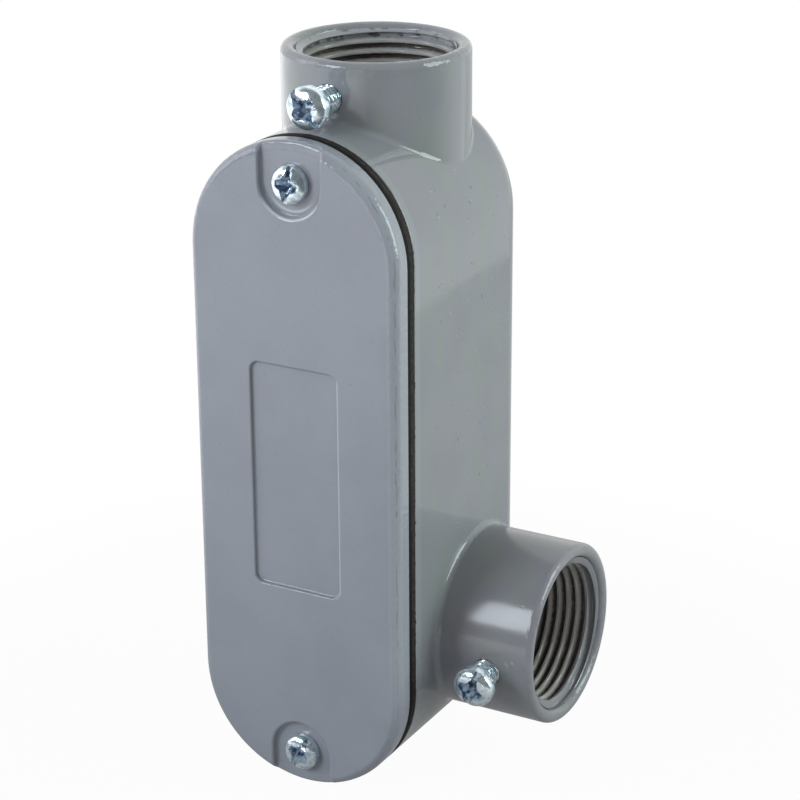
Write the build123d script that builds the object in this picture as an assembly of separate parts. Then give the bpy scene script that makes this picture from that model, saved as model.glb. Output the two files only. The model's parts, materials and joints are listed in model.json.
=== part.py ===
from build123d import *
from math import cos, radians, sin
import os

# A conduit body for three-quarter inch conduit, with one hub on its end and one out of its side.
# Sizes are in millimetres. The origin is on the top hub's axis, where the threaded wall begins just
# inside the mouth. Z runs up out of the top hub, X out of the side hub, and -Y out through the cover.

# Hubs: bore to the root of the pipe thread, rounded lip at the mouth, stop and throat for the conduit
bore_radius = 13.3
bore_length = 13.7
hub_wall = 2.5
lip_rounding = 1.3
rim_rounding = 1.1
throat_radius = 10.2
throat_rounding = 2.2
stop_thickness = 4.0
hub_fillet = 1.0
top_hub_reach = 10.2
side_throat_length = 5.45
side_hub_height = 24.9

# Trough: an obround casting, open at the front
body_width = 38.7
body_length = 114.2
body_depth = 38.8
wall = 2.6
back_wall = 2.8
back_corner_radius = 5.2
inner_corner_radius = 2.6
hub_back_step = 0.4
land_rounding = 0.4

# Lugs inside the trough that take the cover's screws
lug_radius = 3.9
lug_depth = 12.0
lug_hole_depth = 7.4

# Gasket: a flat frame with a tab round each screw
gasket_thickness = 2.2
gasket_width = 3.9
gasket_tab_radius = 4.6

# Cover: a shallow dished casting with a pocket round each screw and a sunk panel
cover_thickness = 3.8
cover_skin = 2.1
cover_rim = 3.4
cover_rounding = 1.9
pocket_radius = 5.6
pocket_depth = 1.2
pocket_fillet = 0.5
pocket_backing = 2.0
panel_width = 16.3
panel_length = 39.7
panel_depth = 0.7
panel_rounding = 0.3
panel_corner_radius = 1.6
upper_screw_inset = 6.9
lower_screw_inset = 5.9

# Cover screws, number six
cover_screw_radius = 1.75
cover_screw_length = 9.5
cover_head_radius = 3.2
cover_head_height = 2.2

# Set screws, number ten
set_screw_radius = 2.4
set_screw_length = 6.4
set_head_radius = 3.6
set_head_height = 2.75
top_screw_inset = 6.1
top_screw_standoff = 5.4
side_screw_inset = 8.1
side_screw_standoff = 3.6
side_screw_angle = 8.0

# Heads: straight side as a share of the height, screwdriver slot and cross
head_side_share = 0.35
slot_width = 1.1
slot_depth_share = 0.4
cross_width = 1.0
cross_reach_share = 0.5
cross_depth_share = 0.62
tip_chamfer = 0.4

# Clearances
thread_clearance = 0.06
screw_hole_clearance = 0.3
cut_margin = 1.0
quarter_turn = 90

# Places that follow from the sizes
hub_outer_radius = bore_radius + hub_wall
hub_face_z = lip_rounding
stop_depth = lip_rounding + bore_length
trough_top_z = hub_face_z - top_hub_reach
trough_bottom_z = trough_top_z - body_length
trough_centre_z = (trough_top_z + trough_bottom_z) / 2
back_y = hub_outer_radius + hub_back_step
front_y = back_y - body_depth
gasket_front_y = front_y - gasket_thickness
cover_front_y = gasket_front_y - cover_thickness
pocket_floor_y = cover_front_y + pocket_depth
side_hub_z = trough_bottom_z + side_hub_height
inner_wall_x = body_width / 2 - wall
side_face_x = inner_wall_x + side_throat_length + stop_depth
shelf_z = hub_face_z - stop_depth - stop_thickness
upper_screw_z = trough_top_z - upper_screw_inset
lower_screw_z = trough_bottom_z + lower_screw_inset
panel_z = (upper_screw_z + lower_screw_z) / 2


def facing_front(y):
    """Plane at depth y, drawn in x and z, that faces the front."""
    return Plane(origin=(0, y, 0), x_dir=(1, 0, 0), z_dir=(0, -1, 0))


def obround_block(inset, back, front):
    """Block of the trough's outline, drawn in by inset, between two depths."""
    outline = SlotOverall(body_length - 2 * inset, body_width - 2 * inset, rotation=quarter_turn)
    return extrude(facing_front(back) * Pos(0, trough_centre_z) * outline, back - front)


def back_edges(solid):
    """Edges of a solid's rearmost face."""
    return solid.edges().group_by(Axis.Y)[-1]


def front_edges(solid):
    """Edges of a solid's foremost face."""
    return solid.edges().group_by(Axis.Y)[0]


def on_top_hub(piece):
    """Piece drawn along Z from a hub's face, set on the top hub."""
    return Pos(0, 0, hub_face_z) * piece


def on_side_hub(piece):
    """Piece drawn along Z from a hub's face, set on the side hub."""
    return Plane(origin=(side_face_x, 0, side_hub_z), x_dir=(0, 1, 0), z_dir=(1, 0, 0)) * piece


def hub_barrel(length):
    """Outside of a hub: a barrel with a rounded rim, from its face inwards."""
    barrel = Cylinder(hub_outer_radius, length, align=(Align.CENTER, Align.CENTER, Align.MAX))
    return fillet(barrel.edges().group_by(Axis.Z)[-1], rim_rounding)


def quarter_round(centre, radius, rise):
    """Quarter circle of a hub's section, from beside its centre to above or below it."""
    x, y = centre
    mid_turn = radians(quarter_turn / 2)
    middle = (x - radius * cos(mid_turn), y + rise * sin(mid_turn))
    return ThreePointArc((x - radius, y), middle, (x, y + rise))


def hub_hollow(throat_length):
    """Inside of a hub: rounded lip, bore, conduit stop, and a throat that flares into the trough."""
    throat_end = stop_depth + throat_length
    flare_start = throat_end - throat_rounding
    flare_radius = throat_radius + throat_rounding
    lip_radius = bore_radius + lip_rounding
    mouth = Polyline((0, cut_margin), (lip_radius, cut_margin), (lip_radius, 0))
    lip = quarter_round((lip_radius, -lip_rounding), lip_rounding, lip_rounding)
    walls = Polyline(
        (bore_radius, -lip_rounding),
        (bore_radius, -stop_depth),
        (throat_radius, -stop_depth),
        (throat_radius, -flare_start),
    )
    flare = quarter_round((flare_radius, -flare_start), throat_rounding, -throat_rounding)
    back = Polyline(
        (flare_radius, -throat_end),
        (flare_radius, -throat_end - cut_margin),
        (0, -throat_end - cut_margin),
        (0, cut_margin),
    )
    section = make_face(Plane.XZ * (mouth + lip + walls + flare + back))
    return revolve(section, Axis.Z)


def set_screw_plane(on_side):
    """Plane across a hub's axis whose normal points out along that hub's set screw."""
    if on_side:
        angle = radians(side_screw_angle)
        return Plane(
            origin=(side_face_x - side_screw_inset, 0, side_hub_z),
            x_dir=(1, 0, 0),
            z_dir=(0, -cos(angle), -sin(angle)),
        )
    return Plane(origin=(0, 0, hub_face_z - top_screw_inset), x_dir=(1, 0, 0), z_dir=(0, -1, 0))


def set_screw_hole(on_side):
    """Tapped hole through the front of a hub's wall."""
    hole = Cylinder(
        set_screw_radius + thread_clearance,
        hub_wall + 2 * cut_margin,
        align=(Align.CENTER, Align.CENTER, Align.MIN),
    )
    return set_screw_plane(on_side) * Pos(0, 0, bore_radius - cut_margin) * hole


def screw_lug(screw_z, end_z, depth):
    """Lug from the trough's end wall to just past a cover screw, run out at a slant below."""
    reach = abs(end_z - screw_z)
    towards_end = 1 if end_z > screw_z else -1
    tip = screw_z - towards_end * lug_radius
    outline = Circle(lug_radius) + Pos(0, towards_end * reach / 2) * Rectangle(2 * lug_radius, reach)
    column = extrude(facing_front(back_y) * Pos(0, screw_z) * outline, body_depth)
    side = Polyline(
        (front_y, tip),
        (front_y + depth, tip),
        (front_y + depth + reach + lug_radius, end_z),
        (front_y, end_z),
        (front_y, tip),
    )
    slant = extrude(Plane.YZ * make_face(side), lug_radius, both=True)
    return column & slant


def screw_hole(screw_z, radius, back, front):
    """Round hole along a cover screw's axis, between two depths."""
    return extrude(facing_front(back) * Pos(0, screw_z) * Circle(radius), back - front)


def wiring_space():
    """Hollow of the trough, less the shelf behind the top hub and the two screw lugs."""
    floor_y = back_y - back_wall
    hollow = obround_block(wall, floor_y, front_y - cut_margin)
    hollow = fillet(back_edges(hollow), inner_corner_radius)
    shelf = Pos(0, (back_y - hub_outer_radius) / 2, (shelf_z + trough_top_z) / 2) * Box(
        body_width, back_y + hub_outer_radius, trough_top_z - shelf_z
    )
    hollow -= shelf
    hollow -= screw_lug(upper_screw_z, trough_top_z, -hub_outer_radius - front_y)
    hollow -= screw_lug(lower_screw_z, trough_bottom_z, lug_depth)
    return hollow


def housing():
    """The one-piece casting: trough, both hubs, throats, lugs and tapped holes."""
    shell = obround_block(0, back_y, front_y)
    shell = fillet(back_edges(shell), back_corner_radius)
    shell = fillet(front_edges(shell), land_rounding)
    top_barrel = on_top_hub(hub_barrel(top_hub_reach + body_width / 2))
    joined = shell + top_barrel
    joined = fillet(new_edges(shell, top_barrel, combined=joined), hub_fillet)
    side_barrel = on_side_hub(hub_barrel(side_face_x))
    cast = joined + side_barrel
    cast = fillet(new_edges(joined, side_barrel, combined=cast), hub_fillet)
    cast -= wiring_space()
    cast -= on_top_hub(hub_hollow(stop_thickness))
    cast -= on_side_hub(hub_hollow(side_face_x - inner_wall_x - stop_depth))
    for on_side in (False, True):
        cast -= set_screw_hole(on_side)
    for screw_z in (upper_screw_z, lower_screw_z):
        cast -= screw_hole(
            screw_z, cover_screw_radius + thread_clearance, front_y + lug_hole_depth, front_y - cut_margin
        )
    return cast


def gasket():
    """Flat frame the shape of the trough's rim, with a tab round each screw."""
    frame = obround_block(0, front_y, gasket_front_y)
    opening = obround_block(gasket_width, front_y + cut_margin, gasket_front_y - cut_margin)
    for screw_z, end_z in ((upper_screw_z, trough_top_z), (lower_screw_z, trough_bottom_z)):
        reach = end_z - screw_z
        tab = Circle(gasket_tab_radius) + Pos(0, reach / 2) * Rectangle(2 * gasket_tab_radius, abs(reach))
        opening -= extrude(facing_front(back_y) * Pos(0, screw_z) * tab, back_y - cover_front_y)
    frame -= opening
    for screw_z in (upper_screw_z, lower_screw_z):
        frame -= screw_hole(
            screw_z, cover_screw_radius + screw_hole_clearance, front_y + cut_margin, cover_front_y
        )
    return frame


def pocket_lips(plate):
    """Edges where the two pockets meet the cover's flat front."""
    return [edge for edge in front_edges(plate) if abs(edge.center().X) < pocket_radius]


def pocket(screw_z, end_z):
    """Flat-floored pocket round a cover screw, open at the cover's end."""
    reach = end_z - screw_z
    past_end = reach + (cut_margin if reach > 0 else -cut_margin)
    outline = Circle(pocket_radius) + Pos(0, past_end / 2) * Rectangle(2 * pocket_radius, abs(past_end))
    hollow = extrude(facing_front(pocket_floor_y) * Pos(0, screw_z) * outline, pocket_depth + cut_margin)
    return fillet(back_edges(hollow), pocket_fillet)


def sunk_panel(plate):
    """Plate with the shallow panel sunk in its front, its edges rounded above and below."""
    outline = RectangleRounded(panel_width, panel_length, panel_corner_radius)
    hollow = extrude(facing_front(cover_front_y + panel_depth) * Pos(0, panel_z) * outline, cut_margin)
    hollow = fillet(back_edges(hollow), panel_rounding)
    sunk = plate - hollow
    lips = new_edges(plate, hollow, combined=sunk).group_by(Axis.Y)[0]
    return fillet(lips, panel_rounding)


def cover():
    """Dished cover with rounded edges, a pocket for each screw head and a sunk bare panel."""
    plate = obround_block(0, gasket_front_y, cover_front_y)
    plate = fillet(front_edges(plate), cover_rounding)
    ends = ((upper_screw_z, trough_top_z), (lower_screw_z, trough_bottom_z))
    for screw_z, end_z in ends:
        plate -= pocket(screw_z, end_z)
    plate = fillet(pocket_lips(plate), pocket_fillet)
    plate = sunk_panel(plate)
    dish_front = gasket_front_y - (cover_thickness - cover_skin)
    dish = obround_block(cover_rim, gasket_front_y + cut_margin, dish_front)
    for screw_z, end_z in ends:
        backing = Circle(pocket_radius + pocket_backing)
        dish -= extrude(facing_front(back_y) * Pos(0, screw_z) * backing, back_y - cover_front_y)
    plate -= dish
    for screw_z, end_z in ends:
        plate -= screw_hole(
            screw_z, cover_screw_radius + screw_hole_clearance, front_y, cover_front_y - cut_margin
        )
    return plate


def machine_screw(radius, length, head_radius, head_height):
    """Domed screw along Z, slotted and cross-recessed, with its head's underside at the origin."""
    side = head_height * head_side_share
    dome = EllipticalCenterArc(
        (0, side), head_radius, head_height - side, start_angle=0, arc_size=quarter_turn
    )
    flat = Polyline((0, head_height), (0, 0), (head_radius, 0), (head_radius, side))
    head = revolve(make_face(Plane.XZ * (flat + dome)), Axis.Z)
    top = (Align.CENTER, Align.CENTER, Align.MAX)
    slot = Box(2 * head_radius, slot_width, head_height * slot_depth_share, align=top)
    head -= Pos(0, 0, head_height) * slot
    for turn in (0, quarter_turn):
        arm = Box(
            2 * head_radius * cross_reach_share, cross_width, head_height * cross_depth_share, align=top
        )
        head -= Pos(0, 0, head_height) * Rot(0, 0, turn) * arm
    shank = Cylinder(radius, length, align=top)
    shank = chamfer(shank.edges().group_by(Axis.Z)[0], tip_chamfer)
    return head + shank


def cover_screw(screw_z):
    """Cover screw, driven home on its pocket's floor."""
    screw = machine_screw(cover_screw_radius, cover_screw_length, cover_head_radius, cover_head_height)
    return facing_front(pocket_floor_y) * Pos(0, screw_z) * screw


def set_screw(on_side, standoff):
    """Set screw, backed out so that its head stands off its hub."""
    screw = machine_screw(set_screw_radius, set_screw_length, set_head_radius, set_head_height)
    return set_screw_plane(on_side) * Pos(0, 0, hub_outer_radius + standoff) * screw


nodes = {
    "housing": housing(),
    "gasket": gasket(),
    "cover": cover(),
    "upper_cover_screw": cover_screw(upper_screw_z),
    "lower_cover_screw": cover_screw(lower_screw_z),
    "top_set_screw": set_screw(False, top_screw_standoff),
    "side_set_screw": set_screw(True, side_screw_standoff),
}
os.makedirs("parts", exist_ok=True)
for name, solid in nodes.items():
    export_step(solid, f"parts/{name}.step")
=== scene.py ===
import json
from math import cos, floor, pi, radians, sin, tau

import bmesh
import bpy
from mathutils import Matrix, Vector


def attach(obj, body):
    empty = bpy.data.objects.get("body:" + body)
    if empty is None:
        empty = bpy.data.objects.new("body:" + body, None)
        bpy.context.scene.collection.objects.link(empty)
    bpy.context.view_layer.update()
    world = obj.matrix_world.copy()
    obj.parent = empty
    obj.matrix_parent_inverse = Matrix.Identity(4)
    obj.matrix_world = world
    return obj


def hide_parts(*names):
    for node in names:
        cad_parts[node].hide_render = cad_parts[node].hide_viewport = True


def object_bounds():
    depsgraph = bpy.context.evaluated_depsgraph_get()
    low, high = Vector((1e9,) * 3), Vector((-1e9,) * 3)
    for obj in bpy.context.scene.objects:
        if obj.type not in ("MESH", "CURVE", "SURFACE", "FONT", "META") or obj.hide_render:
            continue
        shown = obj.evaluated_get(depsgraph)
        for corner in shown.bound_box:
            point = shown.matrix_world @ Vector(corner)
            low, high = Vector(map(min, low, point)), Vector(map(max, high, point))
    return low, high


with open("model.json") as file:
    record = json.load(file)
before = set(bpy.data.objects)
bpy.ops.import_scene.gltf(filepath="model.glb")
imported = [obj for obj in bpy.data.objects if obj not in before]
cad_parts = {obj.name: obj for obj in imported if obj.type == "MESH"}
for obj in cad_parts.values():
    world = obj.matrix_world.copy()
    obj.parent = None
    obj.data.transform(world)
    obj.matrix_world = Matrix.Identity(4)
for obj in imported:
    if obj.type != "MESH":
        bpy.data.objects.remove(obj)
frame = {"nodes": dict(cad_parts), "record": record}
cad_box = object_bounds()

# Lengths below are in millimetres, and meshes are scaled to metres as they are made.
metre = 1000.0
casting = "casting"
upwards, sideways, frontwards = Vector((0, 0, 1)), Vector((1, 0, 0)), Vector((0, -1, 0))

# Photograph: camera place and direction, solved from the outline of the object
image_size = 800
focal_pixels = 2554.1
camera_place = (204.06, -358.5, 98.31)
camera_yaw = 29.16
camera_pitch = -21.23
camera_roll = -0.37
sensor_width = 36.0
camera_near_clip = 10

# Studio: light of the room level with the object and from straight up, and what gloss mirrors
room_light = (0.64, 0.34)
room_mirrored = 0.1
backdrop_mirrored = 1.15
backdrop_direction = (-0.45, 0.85, -0.25)
backdrop_edge = 0.4
lamp_distance = 800

# Floor: two of its corners, its own tone, and how bright it is where gloss mirrors it. The places
# are distances from the origin, or towards the bright side at the left and in front.
floor_low = (-700, -700)
floor_high = (140, 700)
floor_gap = 0.2
floor_tone = 0.5
floor_seen = (0.965, 1.0)
floor_seen_places = (140, 180)
floor_mirrored = (0.7, 1.7)
floor_bright_side = (-1.0, -0.5, 0.0)
floor_bright_places = (50, 260)
floor_shade = (0.46, 1.0)
floor_shade_places = (127, 160)

# Hubs: the frame's mounts give their places and bores; the pipe thread has 14 turns to the inch
mounts = {mount["name"]: mount for mount in frame["record"]["mounts"]}
bore_radius = mounts["top_hub"]["dims"]["r_mm"]
bore_length = mounts["top_hub"]["dims"]["length_mm"]
top_hub = Vector(mounts["top_hub"]["pos_m"]) * metre
side_hub = Vector(mounts["side_hub"]["pos_m"]) * metre
hub_outer_radius = 15.8
lip_rounding = 1.3
hub_thread_pitch = 25.4 / 14
hub_thread_height = 1.2
hub_thread_ends = (-0.5, bore_length - 0.5)
hub_thread_skin = 0.02

# Set screws, number ten, and cover screws, number six
set_screw = dict(radius=2.4, length=6.4, head_radius=3.6, head_height=2.75, pitch=25.4 / 24)
cover_screw = dict(radius=1.75, length=9.5, head_radius=3.2, head_height=2.2, pitch=25.4 / 32)
set_hole_radius = 2.46
set_hole_start = 5.0
top_screw_inset = 6.1
top_screw_standoff = 5.4
side_screw_inset = 8.1
side_screw_standoff = 3.6
side_screw_angle = radians(8)
side_screw_out = Vector((0, -cos(side_screw_angle), -sin(side_screw_angle)))
cover_screw_heights = (-15.8, -117.2)

# Trough, gasket and cover
body_width = 38.7
body_top_z = -8.9
body_bottom_z = -123.1
front_y = -22.6
gasket_front_y = -24.8
cover_rounding = 1.9
cover_crease_inset = 0.5
pocket_radius = 5.6
pocket_foot_inset = 1.0
pocket_floor_y = -27.4
panel_width = 16.3
panel_length = 39.7
panel_corner_radius = 1.6
panel_z = sum(cover_screw_heights) / 2

# Where the finishes and the painted light and shade change, each place as its start and end
pitted_front = (-19, -10)
pitted_back = (6, 14)
pitted_low = (-95, -70)
pitted_top = (-22, -12)
painted_light_right = (0, 12)
painted_light_height = (-112, -95)
top_hub_start = (-13, -9)
side_hub_start = (body_width / 2 + 0.15, body_width / 2 + 3.15)
rounding_start = body_width / 2 - cover_rounding


def around(radius, k, sides, z):
    """Point number k of so many points round Z."""
    return radius * cos(tau * k / sides), radius * sin(tau * k / sides), z


def mesh_object(name, form):
    """Object made from a bmesh in millimetres, with smooth faces and its sharp edges kept."""
    sharp_angle = radians(38)
    bmesh.ops.recalc_face_normals(form, faces=form.faces)
    for face in form.faces:
        face.smooth = True
    for edge in form.edges:
        edge.smooth = len(edge.link_faces) == 2 and edge.calc_face_angle() < sharp_angle
    form.transform(Matrix.Scale(1 / metre, 4))
    mesh = bpy.data.meshes.new(name)
    form.to_mesh(mesh)
    form.free()
    piece = bpy.data.objects.new(name, mesh)
    bpy.context.scene.collection.objects.link(piece)
    return piece


def cut_away(piece, cutter):
    """Piece less the cutter, with the result kept in its own mesh. The cutter is deleted."""
    modifier = piece.modifiers.new("cut", "BOOLEAN")
    modifier.operation = "DIFFERENCE"
    modifier.solver = "EXACT"
    modifier.material_mode = "TRANSFER"
    modifier.object = cutter
    bpy.context.view_layer.update()
    shaped = bpy.data.meshes.new_from_object(piece.evaluated_get(bpy.context.evaluated_depsgraph_get()))
    piece.modifiers.clear()
    piece.data = shaped
    bpy.data.objects.remove(cutter)


def turned(form, outline, sides):
    """Rings of vertices round Z for an outline of (radius, height) points, in order."""
    return [[form.verts.new(around(radius, k, sides, z)) for k in range(sides)] for radius, z in outline]


def join_rings(form, rings, closed_round=False):
    """Faces between rings that follow each other, and end caps unless the rings close on themselves."""
    pairs = list(zip(rings, rings[1:]))
    if closed_round:
        pairs.append((rings[-1], rings[0]))
    else:
        form.faces.new(rings[0])
        form.faces.new(rings[-1])
    for low, high in pairs:
        for k in range(len(low)):
            after = (k + 1) % len(low)
            form.faces.new((low[k], low[after], high[after], high[k]))


def thread_wave(turn):
    """Height of a rounded thread from root 0 to crest 1, for a place along it counted in turns."""
    crest_share = 0.2
    flank_share = 0.3
    away = abs(turn - floor(turn) - 0.5)
    rise = 1 - (away - crest_share / 2) / flank_share
    rise = min(1, max(0, rise))
    return rise * rise * (3 - 2 * rise)


def fade(place, low, high, length):
    """1 between two places, falling to 0 over a length at each end."""
    return min(1, max(0, (place - low) / length), max(0, (high - place) / length))


def facing(out, turn=0):
    """Rotation that takes Z to an outward direction, turned about it by an angle in degrees."""
    swing = upwards.rotation_difference(out).to_matrix().to_4x4()
    return swing @ Matrix.Rotation(radians(turn), 4, "Z")


def thread_sleeve():
    """Sleeve down a hub's bore from its mouth at the origin, with helical ridges on its inner face.

    The ridges wind left-handed here, where a real pipe thread winds right-handed: k / sides would have
    to be added to the turn and not taken from it.
    """
    sides, steps_per_pitch = 144, 12
    first, last = hub_thread_ends
    steps = round((last - first) / hub_thread_pitch * steps_per_pitch)
    form = bmesh.new()
    inner = []
    for step in range(steps + 1):
        depth = first + (last - first) * step / steps
        end_fade = fade(depth, first, last, hub_thread_pitch * 0.35)
        ring = []
        for k in range(sides):
            ridge = hub_thread_height * thread_wave(depth / hub_thread_pitch - k / sides) * end_fade
            ring.append(form.verts.new(around(bore_radius - hub_thread_skin - ridge, k, sides, -depth)))
        inner.append(ring)
    wall = bore_radius - hub_thread_skin / 2
    outer = turned(form, [(wall, -last), (wall, -first)], sides)
    join_rings(form, inner + outer, closed_round=True)
    return form


def hub_thread(name, mouth, axis, screw_inset, screw_out):
    """Pipe thread inside a hub, pierced by the hole of its set screw."""
    form = thread_sleeve()
    form.transform(Matrix.Translation(mouth) @ facing(axis))
    piece = mesh_object(name, form)
    hole = bmesh.new()
    hole_sides = 48
    reach = 2 * (bore_radius - hub_thread_height)
    outline = [(set_hole_radius, set_hole_start), (set_hole_radius, reach)]
    join_rings(hole, turned(hole, outline, hole_sides))
    hole.transform(Matrix.Translation(mouth + axis * (lip_rounding - screw_inset)) @ facing(screw_out))
    cut_away(piece, mesh_object("hole_cutter", hole))
    piece.data.materials.clear()
    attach(piece, casting)
    return piece


def screw_head(size):
    """Pan head with its underside at the origin: straight side, round shoulder and nearly flat face."""
    sides, shoulder_steps = 96, 18
    radius, height = size["head_radius"], size["head_height"]
    tip_radius = 0.02
    side = 0.40 * height
    underside, edge_break = 0.93 * radius, 0.06 * radius
    fullness_across, fullness_up = 0.72, 0.92
    outline = [(tip_radius, 0.0), (underside, 0.0), (radius, edge_break), (radius, side)]
    for step in range(1, shoulder_steps + 1):
        angle = pi / 2 * step / shoulder_steps
        across, up = cos(angle) ** fullness_across, sin(angle) ** fullness_up
        outline.append((max(tip_radius, radius * across), side + (height - side) * up))
    form = bmesh.new()
    join_rings(form, turned(form, outline, sides))
    return mesh_object("head", form)


def slot_cutter(size):
    """Screwdriver slot right across the head."""
    long, wide = 2.2 * size["head_radius"], 0.30 * size["head_radius"]
    top, bottom = 1.1 * size["head_height"], 0.52 * size["head_height"]
    form = bmesh.new()
    bmesh.ops.create_cube(form, size=1)
    form.transform(
        Matrix.Translation((0, 0, (top + bottom) / 2)) @ Matrix.Diagonal((long, wide, top - bottom, 1))
    )
    return mesh_object("slot_cutter", form)


def cross_cutter(size):
    """Cross recess: four wings that narrow and draw in towards the bottom, and a cone between them."""
    radius, height = size["head_radius"], size["head_height"]
    # Height of each level, then how far its wings reach, their half width, and the corner between them
    levels = ((1.06, 0.66, 0.18, 0.32), (0.70, 0.56, 0.15, 0.26), (0.12, 0.26, 0.09, 0.13))
    form = bmesh.new()
    rings = []
    for level, reach, half_wide, elbow in levels:
        ring = []
        for k in range(4):
            quarter = Matrix.Rotation(tau * k / 4, 4, "Z")
            for x, y in ((reach, -half_wide), (reach, half_wide), (elbow, elbow)):
                place = quarter @ Vector((x * radius, y * radius, level * height))
                ring.append(form.verts.new(place))
        rings.append(ring)
    join_rings(form, rings)
    return mesh_object("cross_cutter", form)


def screw_shank(size):
    """Shank below the head with its right-handed thread, down to a chamfered tip."""
    sides, steps_per_pitch = 48, 10
    radius, length, pitch = size["radius"], size["length"], size["pitch"]
    depth_of_thread = 0.6 * pitch
    tip = 0.5
    overlap = 0.05
    steps = round(length / pitch * steps_per_pitch)
    form = bmesh.new()
    rings = []
    for step in range(steps + 1):
        down = length * step / steps
        taper = tip * max(0, 1 - (length - down) / tip)
        end_fade = fade(down, 0, length + tip, pitch * 0.6)
        ring = []
        for k in range(sides):
            wave = 1 - thread_wave(down / pitch + k / sides + 0.5)
            cut = depth_of_thread * (1 - wave) * end_fade
            ring.append(form.verts.new(around(radius - cut - taper, k, sides, overlap - down)))
        rings.append(ring)
    join_rings(form, rings)
    return mesh_object("shank", form)


def finished_head(size):
    """Screw head with its slot and cross cut out, both in a darker copy of the zinc, as painted shade.

    Blender clamps the bevel to no width on these heads. It rounds no edge, but the shading at the
    edges depends on it.
    """
    plate = zinc("zinc_plate", linear(228, 239, 245), linear(192, 210, 221), gloss=0.12, metallic=0.8)
    # Painted shade: the recess in a darker copy of the plate's zinc.
    recess = zinc("zinc_recess_shade", linear(206, 223, 235), linear(88, 104, 130), gloss=0.16, metallic=0.62)
    head = screw_head(size)
    head.data.materials.append(plate)
    for cutter in (slot_cutter(size), cross_cutter(size)):
        cutter.data.materials.append(recess)
        cut_away(head, cutter)
    soften = head.modifiers.new("soften", "BEVEL")
    soften.width = 0.08 / metre
    soften.segments = 2
    soften.limit_method = "ANGLE"
    soften.angle_limit = radians(35)
    return head


def screw(node, size, place, out, turn, body):
    """Zinc screw in place of a CAD screw: head with slot and cross, and a threaded shank."""
    head = finished_head(size)
    shank = screw_shank(size)
    form = bmesh.new()
    bpy.context.view_layer.update()
    drawn = bpy.context.evaluated_depsgraph_get()
    for part in (head, shank):
        form.from_mesh(part.evaluated_get(drawn).to_mesh())
    finishes = list(head.data.materials)
    for part in (head, shank):
        bpy.data.objects.remove(part)
    form.transform(Matrix.Scale(metre, 4))
    form.transform(Matrix.Translation(place) @ facing(out, turn))
    piece = mesh_object(node + "_detailed", form)
    for finish in finishes:
        piece.data.materials.append(finish)
    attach(piece, body)
    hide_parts(node)


class Tree:
    """A node tree under construction, with short calls for the nodes that it uses."""

    def __init__(self, tree, coordinates):
        self.nodes = tree.nodes
        self.links = tree.links
        self.place = self.nodes.new("ShaderNodeTexCoord").outputs[coordinates]

    def link(self, source, target):
        """Links an output to an input, or sets the input where the source is a plain value."""
        if isinstance(source, (int, float, tuple)):
            target.default_value = source
        else:
            self.links.new(source, target)

    def math(self, operation, *sources):
        """Result of an arithmetic node."""
        made = self.nodes.new("ShaderNodeMath")
        made.operation = operation
        for source, target in zip(sources, made.inputs):
            self.link(source, target)
        return made.outputs[0]

    def times(self, first, second):
        """One number times another, so a mask within a mask."""
        return self.math("MULTIPLY", first, second)

    def vector(self, operation, *sources):
        """Result of a vector node: a number for a length or a dot product, and otherwise a vector."""
        made = self.nodes.new("ShaderNodeVectorMath")
        made.operation = operation
        for source, target in zip(sources, made.inputs):
            self.link(source, target)
        return made.outputs["Value" if operation in ("LENGTH", "DOT_PRODUCT") else "Vector"]

    def spread(self, value, low, high, to_low=0.0, to_high=1.0, smooth=True):
        """Value mapped from one range to another, held at its ends."""
        made = self.nodes.new("ShaderNodeMapRange")
        if smooth:
            made.interpolation_type = "SMOOTHSTEP"
        self.link(value, made.inputs["Value"])
        for name, number in (("From Min", low), ("From Max", high), ("To Min", to_low), ("To Max", to_high)):
            made.inputs[name].default_value = number
        return made.outputs["Result"]

    def ramp(self, length, low, high, to_low=0.0, to_high=1.0):
        """Spread of a length in metres between two places in millimetres."""
        return self.spread(length, low / metre, high / metre, to_low, to_high)

    def mix_number(self, factor, first, second):
        """Number between two numbers."""
        made = self.nodes.new("ShaderNodeMix")
        self.link(factor, made.inputs["Factor"])
        self.link(first, made.inputs["A"])
        self.link(second, made.inputs["B"])
        return made.outputs["Result"]

    def rays(self):
        """Whether a ray is the camera's, a mirrored one or one through clear matter, each 1 or 0."""
        path = self.nodes.new("ShaderNodeLightPath").outputs
        return path["Is Camera Ray"], path["Is Glossy Ray"], path["Is Transmission Ray"]


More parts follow.
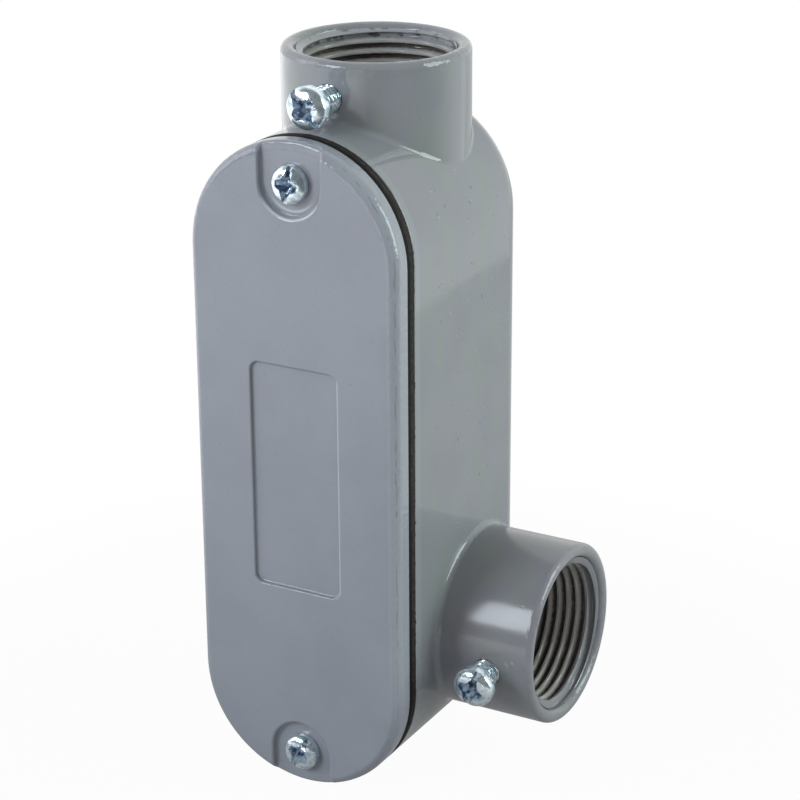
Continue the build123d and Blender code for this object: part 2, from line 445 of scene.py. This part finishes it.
class Shader(Tree):
    """A node material under construction. What its surface is given stays at hand by the input's name."""

    def __init__(self, name):
        self.material = bpy.data.materials.new(name)
        self.material.use_nodes = True
        super().__init__(self.material.node_tree, "Object")
        self.surface = self.nodes["Principled BSDF"]
        self.given = {}

    def give(self, name, source):
        """Links an input of the surface, or sets it to a plain value."""
        self.given[name] = source
        self.link(source, self.surface.inputs[name])

    def scaled(self, size, stretch):
        """Place on the surface, with a size in millimetres as its unit."""
        return self.vector("MULTIPLY", self.place, tuple(metre / size * part for part in stretch))

    def noise(self, size, detail=2.0, stretch=(1, 1, 1)):
        """Noise whose features are about a size in millimetres."""
        made = self.nodes.new("ShaderNodeTexNoise")
        made.inputs["Scale"].default_value = 1.0
        made.inputs["Detail"].default_value = detail
        made.inputs["Roughness"].default_value = 0.5
        self.link(self.scaled(size, stretch), made.inputs["Vector"])
        return made.outputs["Fac"]

    def patches(self, size, start, full, least=0.0, most=1.0, detail=2.0, stretch=(1, 1, 1)):
        """Patches about a size in millimetres: least below one height of the noise, most above another."""
        return self.spread(self.noise(size, detail, stretch), start, full, least, most)

    def uneven_gloss(self, size, low, high):
        """Roughness that varies between two values in patches about a size in millimetres."""
        return self.patches(size, start=0.3, full=0.7, least=low, most=high)

    def waver(self, length, size, height, detail=2.0):
        """Length that wavers to and fro, with the size and height of its waves in millimetres."""
        wave = self.times(self.math("SUBTRACT", self.noise(size, detail), 0.5), height / metre)
        return self.math("ADD", length, wave)

    def pits(self, spacing, radius, stretch=(1, 1, 1)):
        """Pits scattered at a spacing, both in millimetres: 1 at a pit's centre and 0 outside it."""
        cells = self.nodes.new("ShaderNodeTexVoronoi")
        cells.inputs["Scale"].default_value = 1.0
        self.link(self.scaled(spacing, stretch), cells.inputs["Vector"])
        return self.spread(cells.outputs["Distance"], 0.0, radius / spacing, 1.0, 0.0)

    def mix(self, factor, first, second):
        """Colour between two colours."""
        made = self.nodes.new("ShaderNodeMix")
        made.data_type = "RGBA"
        self.link(factor, made.inputs["Factor"])
        self.link(first, made.inputs["A"])
        self.link(second, made.inputs["B"])
        return made.outputs["Result"]

    def bump(self, height, depth, under=None):
        """Bump of a depth in millimetres, on top of an earlier one."""
        made = self.nodes.new("ShaderNodeBump")
        made.inputs["Distance"].default_value = depth / metre
        self.link(height, made.inputs["Height"])
        if under is not None:
            self.link(under, made.inputs["Normal"])
        return made.outputs["Normal"]

    def axis(self, letter):
        """One coordinate of the surface point, in metres."""
        split = self.nodes.new("ShaderNodeSeparateXYZ")
        self.link(self.place, split.inputs[0])
        return split.outputs[letter]

    def hypotenuse(self, first, second):
        """Length of the long side of a right triangle."""
        squares = [self.times(side, side) for side in (first, second)]
        return self.math("SQRT", self.math("ADD", *squares))

    def gap(self, length, place):
        """How far a length in metres is from a place in millimetres, either way."""
        return self.math("ABSOLUTE", self.math("SUBTRACT", length, place / metre))

    def from_middle(self):
        """Distance in metres from the middle line of the obround trough: half its width at the side."""
        half = body_width / 2
        z = self.axis("Z")
        held = self.math("MAXIMUM", z, (body_bottom_z + half) / metre)
        held = self.math("MINIMUM", held, (body_top_z - half) / metre)
        return self.hypotenuse(self.axis("X"), self.math("SUBTRACT", z, held))


def linear(*shades):
    """Linear colour for a colour given as 0 to 255 values, as a picture shows it."""
    parts = [shade / 255 for shade in shades]
    return tuple(c / 12.92 if c <= 0.04045 else ((c + 0.055) / 1.055) ** 2.4 for c in parts) + (1.0,)


def paint(name, light, dark, gloss, lumps, pitted=None):
    """Glossy enamel over a casting: mottling, orange peel, dust specks, lumps at edges and casting pits."""
    dust, rust = linear(96, 98, 102), linear(126, 96, 90)
    shader = Shader(name)
    tint = shader.mix(shader.patches(size=14, start=0.35, full=0.65, detail=3), light, dark)
    tint = shader.mix(shader.patches(size=0.35, start=0.64, full=0.80, most=0.3, detail=1), tint, dust)
    rusty = shader.patches(size=9, start=0.52, full=0.6, most=0.5)
    tint = shader.mix(shader.times(shader.pits(spacing=5.2, radius=0.32), rusty), tint, rust)
    shader.give("Base Color", tint)
    shader.give("Roughness", shader.uneven_gloss(5, gloss - 0.02, gloss + 0.03))
    shader.give("IOR", 1.5)
    peel = shader.bump(shader.noise(size=1.3), depth=0.002)
    ripple = shader.bump(shader.noise(size=7, detail=1), depth=0.008, under=peel)
    normal = shader.bump(shader.times(shader.noise(size=1.2), lumps(shader)), depth=0.14, under=ripple)
    if pitted is not None:
        porous = shader.patches(size=3.1, start=0.47, full=0.56)
        pits = shader.times(shader.pits(spacing=1.7, radius=0.34), porous)
        whole = shader.math("SUBTRACT", 1.0, shader.times(pits, pitted(shader)))
        normal = shader.bump(whole, depth=0.11, under=normal)
    shader.give("Normal", normal)
    return shader


def housing_lumps(shader):
    """Where the enamel is lumpy on the housing: on the lips of both hubs."""
    top = shader.ramp(shader.axis("Z"), top_hub.z - 1.2, top_hub.z + 0.4)
    side = shader.ramp(shader.axis("X"), side_hub.x - 0.1, side_hub.x + 0.7)
    return shader.math("MAXIMUM", top, side)


def side_wall_pits(shader):
    """Where the casting is pitted: a band up the middle of the side wall, strongest above its middle."""
    elsewhere = 0.05
    y, z = shader.axis("Y"), shader.axis("Z")
    band = shader.times(shader.ramp(y, *pitted_front), shader.ramp(y, *pitted_back, 1.0, 0.0))
    height = shader.times(shader.ramp(z, *pitted_low), shader.ramp(z, *pitted_top, 1.0, 0.0))
    return shader.math("MAXIMUM", shader.times(band, height), elsewhere)


def housing_paint():
    """Enamel of the housing, a little greener in upright patches, with a painted light stripe along its
    front edge, painted shade on the side hub, and a ragged line of painted shade at the gasket.
    """
    light, dark = linear(134, 137, 142), linear(130, 133, 138)
    greenish, pit, painted_light_tone = linear(132, 140, 134), linear(84, 90, 92), linear(148, 153, 157)
    side_hub_shade_tone, shadow_black = linear(112, 94, 102), linear(26, 23, 22)
    side_hub_shade, side_hub_dullness, top_hub_dullness = 0.16, 0.13, 0.08
    painted_light_band, painted_light_share = (front_y + 1.6, front_y + 2.2), 0.35
    shader = paint("casting_paint", light, dark, 0.04, housing_lumps, side_wall_pits)
    x, y, z = shader.axis("X"), shader.axis("Y"), shader.axis("Z")
    streaks = shader.patches(size=6, start=0.5, full=0.66, most=0.55, stretch=(1, 1, 0.4))
    tint = shader.mix(streaks, shader.given["Base Color"], greenish)
    porous = shader.patches(size=2.6, start=0.46, full=0.54)
    dashes = shader.times(shader.pits(spacing=1.9, radius=0.26, stretch=(1, 1, 0.42)), porous)
    tint = shader.mix(shader.times(dashes, side_wall_pits(shader)), tint, pit)
    # Painted light: a lighter stripe along the housing's front edge, beside the gasket.
    tint = shader.mix(shader.ramp(y, *painted_light_band, painted_light_share, 0.0), tint, painted_light_tone)
    # Painted shade: the side hub's enamel darker and warmer than the rest of the housing.
    tint = shader.mix(shader.ramp(x, *side_hub_start, 0.0, side_hub_shade), tint, side_hub_shade_tone)
    duller = shader.math(
        "MAXIMUM",
        shader.ramp(x, *side_hub_start, 0.0, side_hub_dullness),
        shader.ramp(z, *top_hub_start, 0.0, top_hub_dullness),
    )
    shader.give("Roughness", shader.math("ADD", shader.given["Roughness"], duller))
    # Painted shade: a ragged black line along the housing's front edge, where it meets the gasket.
    ragged = shader.waver(y, size=1.4, height=1.1)
    joint_shade = shader.ramp(ragged, front_y - 0.02, front_y + 0.2, 1.0, 0.0)
    shader.give("Base Color", shader.mix(joint_shade, tint, shadow_black))
    return shader.material


def cover_lumps(shader):
    """Where the enamel is lumpy on the cover: on its rounded edge."""
    return shader.ramp(shader.from_middle(), rounding_start + 0.1, rounding_start + 0.7)


def pocket_highlights(shader):
    """Painted highlight on the upper pocket: lighter lines on its lip and at the foot of its wall, along the
    arc.
    """
    line, arc_ends = (0.05, 0.35), (-4.6, -2.0)
    lip_share, foot_share = 0.75, 0.55
    height = shader.math("SUBTRACT", shader.axis("Z"), cover_screw_heights[0] / metre)
    out = shader.hypotenuse(shader.axis("X"), height)
    lip = shader.ramp(shader.gap(out, pocket_radius + 0.2), *line, lip_share, 0.0)
    foot = shader.ramp(shader.gap(out, pocket_radius - pocket_foot_inset), *line, foot_share, 0.0)
    arc = shader.ramp(height, *arc_ends, 1.0, 0.0)
    return shader.times(shader.math("MAXIMUM", lip, foot), arc)


def panel_highlight(shader):
    """Painted highlight on the sunk panel: a lighter line on the lip of its right edge, between the corners.
    """
    line, share = (0.05, 0.4), 0.34
    half = panel_length / 2
    lip = shader.ramp(shader.gap(shader.axis("X"), panel_width / 2 + 0.15), *line, share, 0.0)
    off_middle = shader.gap(shader.axis("Z"), panel_z)
    straight = shader.ramp(off_middle, half - panel_corner_radius, half - 0.4, 1.0, 0.0)
    return shader.times(lip, straight)


def cover_paint():
    """Enamel of the cover, with painted light on its rounded edge, painted highlights along the upper pocket
    and the panel, and a broken darker line along its crease.
    """
    # Painted light: the cover's enamel is set lighter and bluer than the housing's, for the bluish front
    # light on it.
    light, dark = linear(138, 142, 151), linear(134, 138, 147)
    painted_light_tone, crease_line_tone, bare = linear(156, 161, 168), linear(112, 110, 112), linear(112, 88, 80)
    highlight_tone = linear(196, 202, 210)
    shader = paint("cover_paint", light, dark, 0.1, cover_lumps)
    out = shader.from_middle()
    # Painted light: the rounded edge and side band lighter on the right side of the cover, except near its
    # lower end.
    inner = shader.ramp(out, rounding_start - 0.2, rounding_start + 0.8, 0.0, 0.5)
    outer = shader.ramp(out, rounding_start + 1.1, rounding_start + 1.6, 0.0, 0.1)
    right, height = shader.ramp(shader.axis("X"), *painted_light_right), shader.ramp(shader.axis("Z"), *painted_light_height)
    where = shader.times(right, height)
    painted_light = shader.times(shader.math("ADD", inner, outer), where)
    tint = shader.mix(painted_light, shader.given["Base Color"], painted_light_tone)
    # A broken darker line along the crease of the rounded edge.
    off_crease = shader.gap(shader.waver(out, size=3, height=0.4), body_width / 2 - cover_crease_inset)
    line = shader.times(shader.ramp(off_crease, 0.02, 0.12, 1.0, 0.0), where)
    broken = shader.patches(size=2.4, start=0.42, full=0.62, least=0.05, most=0.6, detail=3)
    tint = shader.mix(shader.times(line, broken), tint, crease_line_tone)
    chips = shader.times(shader.ramp(off_crease, 0.1, 0.45, 1.0, 0.0), shader.pits(spacing=3.4, radius=0.55))
    here = shader.patches(size=5, start=0.5, full=0.54, most=0.7)
    tint = shader.mix(shader.times(chips, here), tint, bare)
    # Painted highlights: lighter lines on the upper pocket's lower arc and on the panel's right edge.
    edges = shader.math("MAXIMUM", pocket_highlights(shader), panel_highlight(shader))
    shader.give("Base Color", shader.mix(edges, tint, highlight_tone))
    return shader.material


def thread_paint(name, mouth, axis, mouth_tone, crest_tone, unshaded_turn, mouth_groove_shade):
    """Enamel of a hub's thread: crests lighter deeper in, as painted light, and painted shade in the
    grooves, in ragged patches at the first turn and full past it.
    """
    groove_shade_tone = linear(84, 78, 74)
    groove = (bore_radius - 0.75, bore_radius - 0.05)
    shade_fade = 1.2
    shader = Shader(name)
    flat = Vector((1, 1, 1)) - axis
    back_to_axis = tuple(-part * keep / metre for part, keep in zip(mouth, flat))
    radius = shader.vector("LENGTH", shader.vector("MULTIPLY_ADD", shader.place, tuple(flat), back_to_axis))
    depth = shader.waver(radius, size=0.9, height=0.6, detail=3)
    root = shader.ramp(depth, *groove)
    along = shader.vector("DOT_PRODUCT", shader.place, tuple(axis))
    shade_start = mouth.dot(axis) - unshaded_turn
    inner = shader.ramp(along, shade_start - shade_fade, shade_start, 1.0, 0.0)
    ragged = shader.patches(size=1.7, start=0.5, full=0.62, most=mouth_groove_shade, detail=3)
    # Painted shade: the grooves darker, fully deeper in and in ragged patches near the mouth.
    painted_groove_shade = shader.times(root, shader.math("MAXIMUM", inner, ragged))
    # Painted light: the crests far lighter than the enamel deeper in the bore.
    crest = shader.mix(inner, mouth_tone, crest_tone)
    shader.give("Base Color", shader.mix(painted_groove_shade, crest, groove_shade_tone))
    shader.give("Roughness", shader.uneven_gloss(1.1, 0.1, 0.28))
    shader.give("Normal", shader.bump(shader.noise(size=0.9), depth=0.014))
    return shader.material


def zinc(name, light, dark, gloss, metallic):
    """Bright zinc plate, mottled from a light to a dark tone, with fine dents. The screws share it."""
    made = bpy.data.materials.get(name)
    if made:
        return made
    shader = Shader(name)
    shader.give("Base Color", shader.mix(shader.patches(size=1.0, start=0.42, full=0.6), light, dark))
    shader.give("Metallic", metallic)
    shader.give("Roughness", shader.uneven_gloss(0.5, gloss, gloss + 0.10))
    dents = shader.bump(shader.noise(size=0.8), depth=0.05)
    scratches = shader.noise(size=0.2, detail=3, stretch=(1, 1, 0.25))
    shader.give("Normal", shader.bump(scratches, depth=0.008, under=dents))
    return shader.material


def rubber():
    """Black gasket sheet, matt, with a ragged band of painted shadow that is blackest against the cover."""
    light, dark, shadow_black = linear(34, 31, 29), linear(52, 49, 46), linear(7, 6, 6)
    shader = Shader("gasket_rubber")
    sheet = shader.mix(shader.patches(size=0.8, start=0.35, full=0.7, detail=3), light, dark)
    ragged = shader.waver(shader.axis("Y"), size=2.2, height=0.7)
    # Painted shadow: the gasket blackest in a ragged band along its edge against the cover.
    shadow = shader.ramp(ragged, gasket_front_y + 0.8, gasket_front_y + 1.1, 1.0, 0.0)
    shader.give("Base Color", shader.mix(shadow, sheet, shadow_black))
    shader.give("Roughness", 0.8)
    shader.give("Specular IOR Level", 0.25)
    shader.give("Normal", shader.bump(shader.noise(size=0.4, detail=3, stretch=(1, 2.5, 1)), depth=0.08))
    return shader.material


def dress_frame():
    """Materials for the CAD nodes that stay."""
    finishes = {"housing": housing_paint(), "cover": cover_paint(), "gasket": rubber()}
    for node, finish in finishes.items():
        solid = frame["nodes"][node]
        solid.data.materials.clear()
        solid.data.materials.append(finish)


def add_threads():
    """The pipe threads of both hubs."""
    # Each hub gets its own painted light on the thread crests and painted shade in the grooves near the
    # mouth.
    top = hub_thread("top_hub_thread", top_hub, upwards, top_screw_inset, frontwards)
    top.data.materials.append(
        thread_paint(
            "top_thread_paint", top_hub, upwards,
            mouth_tone=linear(142, 145, 150), crest_tone=linear(170, 169, 167), unshaded_turn=0.6, mouth_groove_shade=0.9,
        )
    )
    side = hub_thread("side_hub_thread", side_hub, sideways, side_screw_inset, side_screw_out)
    side.data.materials.append(
        thread_paint(
            "side_thread_paint", side_hub, sideways,
            mouth_tone=linear(124, 125, 129), crest_tone=linear(172, 168, 164), unshaded_turn=1.0, mouth_groove_shade=0.1,
        )
    )


def set_screw_place(mouth, axis, inset, out, standoff):
    """Underside of a set screw's head, backed out of its hub."""
    return mouth + axis * (lip_rounding - inset) + out * (hub_outer_radius + standoff)


def add_screws():
    """The four screws, each turned as the photograph shows it."""
    top_place = set_screw_place(top_hub, upwards, top_screw_inset, frontwards, top_screw_standoff)
    side_place = set_screw_place(side_hub, sideways, side_screw_inset, side_screw_out, side_screw_standoff)
    upper, lower = (Vector((0, pocket_floor_y, height)) for height in cover_screw_heights)
    screw("top_set_screw", set_screw, top_place, frontwards, turn=131, body="top_set_screw_body")
    screw("side_set_screw", set_screw, side_place, side_screw_out, turn=68, body="side_set_screw_body")
    screw("upper_cover_screw", cover_screw, upper, frontwards, turn=80, body="upper_cover_screw_body")
    screw("lower_cover_screw", cover_screw, lower, frontwards, turn=60, body="lower_cover_screw_body")


def floor_finish():
    """Pale, shaded a little by the object for the camera. Where gloss mirrors it, it glows with painted
    light, brighter towards the left and front, with a painted shadow near the object.
    """
    shader = Shader("floor_white")
    shader.give("Base Color", (floor_tone, floor_tone, floor_tone, 1))
    shader.give("Roughness", 0.9)
    shader.give("Specular IOR Level", 0.0)
    to_camera, to_gloss, through = shader.rays()
    away = shader.vector("LENGTH", shader.place)
    seen = shader.times(to_camera, shader.ramp(away, *floor_seen_places, *floor_seen))
    mirrored = shader.math("MAXIMUM", to_gloss, through)
    bright = shader.vector("DOT_PRODUCT", shader.place, floor_bright_side)
    # Painted light and shadow in the glow: brighter towards the left and front, darker near the object.
    lit = shader.times(
        shader.ramp(bright, *floor_bright_places, *floor_mirrored),
        shader.ramp(away, *floor_shade_places, *floor_shade),
    )
    glow = shader.nodes.new("ShaderNodeEmission")
    shader.link(shader.mix_number(mirrored, 1.0, lit), glow.inputs["Strength"])
    mixed = shader.nodes.new("ShaderNodeMixShader")
    shader.link(shader.math("MAXIMUM", seen, mirrored), mixed.inputs["Fac"])
    shader.link(shader.surface.outputs[0], mixed.inputs[1])
    shader.link(glow.outputs[0], mixed.inputs[2])
    shader.link(mixed.outputs[0], shader.nodes["Material Output"].inputs["Surface"])
    return shader.material


def add_floor():
    """Pale table top just under the object. It looks white, and keeps the shadow near the object."""
    level = cad_box[0].z - floor_gap / metre
    (left, near), (right, far) = floor_low, floor_high
    corners = [(left, near), (right, near), (right, far), (left, far)]
    mesh = bpy.data.meshes.new("floor")
    mesh.from_pydata([(x / metre, y / metre, level) for x, y in corners], [], [(0, 1, 2, 3)])
    mesh.materials.append(floor_finish())
    ground = bpy.data.objects.new("floor", mesh)
    bpy.context.scene.collection.objects.link(ground)


def add_world():
    """Soft light from all round. Its backdrop half is seen as white, and mirrored in gloss and metal."""
    world = bpy.data.worlds.new("studio")
    bpy.context.scene.world = world
    world.use_nodes = True
    sky = Tree(world.node_tree, "Generated")
    to_camera, to_gloss, through = sky.rays()
    to_backdrop = sky.vector("DOT_PRODUCT", sky.place, backdrop_direction)
    mirrored = sky.spread(to_backdrop, -backdrop_edge, backdrop_edge, room_mirrored, backdrop_mirrored)
    up = sky.vector("DOT_PRODUCT", sky.place, tuple(upwards))
    soft = sky.spread(up, 0.0, 1.0, *room_light, smooth=False)
    lit = sky.mix_number(to_gloss, soft, mirrored)
    seen = sky.math("MAXIMUM", to_camera, through)
    background = sky.nodes["Background"]
    background.inputs["Color"].default_value = (1, 1, 1, 1)
    sky.link(sky.mix_number(seen, lit, 1.0), background.inputs["Strength"])


def add_lamp(name, azimuth, elevation, size, power, tint):
    """Soft box aimed at the middle of the object, from a direction in degrees. Its size is in metres."""
    centre = (cad_box[0] + cad_box[1]) / 2
    around_z, above = radians(azimuth), radians(elevation)
    way = Vector((sin(around_z) * cos(above), -cos(around_z) * cos(above), sin(above)))
    data = bpy.data.lights.new(name, "AREA")
    data.shape = "ELLIPSE"
    data.size, data.size_y = size
    data.energy = power
    data.color = tint
    lamp = bpy.data.objects.new(name, data)
    bpy.context.scene.collection.objects.link(lamp)
    lamp.visible_camera = False
    lamp.location = centre + way * (lamp_distance / metre)
    lamp.rotation_mode = "QUATERNION"
    lamp.rotation_quaternion = (-way).to_track_quat("-Z", "Y")


def add_lamps():
    """Soft boxes: a small one in front, a large one on the left and one on the right, a little behind."""
    add_lamp("front_box", azimuth=-28, elevation=26, size=(0.34, 0.40), power=3.1, tint=(0.86, 0.93, 1.0))
    add_lamp("left_box", azimuth=-65, elevation=20, size=(0.45, 0.6), power=1.5, tint=(0.96, 1.0, 0.98))
    add_lamp("right_box", azimuth=110, elevation=20, size=(0.45, 0.6), power=4.1, tint=(0.86, 1.0, 0.97))


def add_camera():
    """Camera at the photograph's place."""
    data = bpy.data.cameras.new("camera")
    data.sensor_width = sensor_width
    data.lens = focal_pixels / image_size * sensor_width
    data.clip_start = camera_near_clip / metre
    camera = bpy.data.objects.new("camera", data)
    bpy.context.scene.collection.objects.link(camera)
    camera.matrix_world = (
        Matrix.Translation(Vector(camera_place) / metre)
        @ Matrix.Rotation(radians(camera_yaw), 4, "Z")
        @ Matrix.Rotation(pi / 2 + radians(camera_pitch), 4, "X")
        @ Matrix.Rotation(radians(camera_roll), 4, "Z")
    )
    bpy.context.scene.camera = camera


dress_frame()
add_threads()
add_screws()
add_floor()
add_world()
add_lamps()
add_camera()
bpy.context.scene.view_settings.view_transform = "Standard"
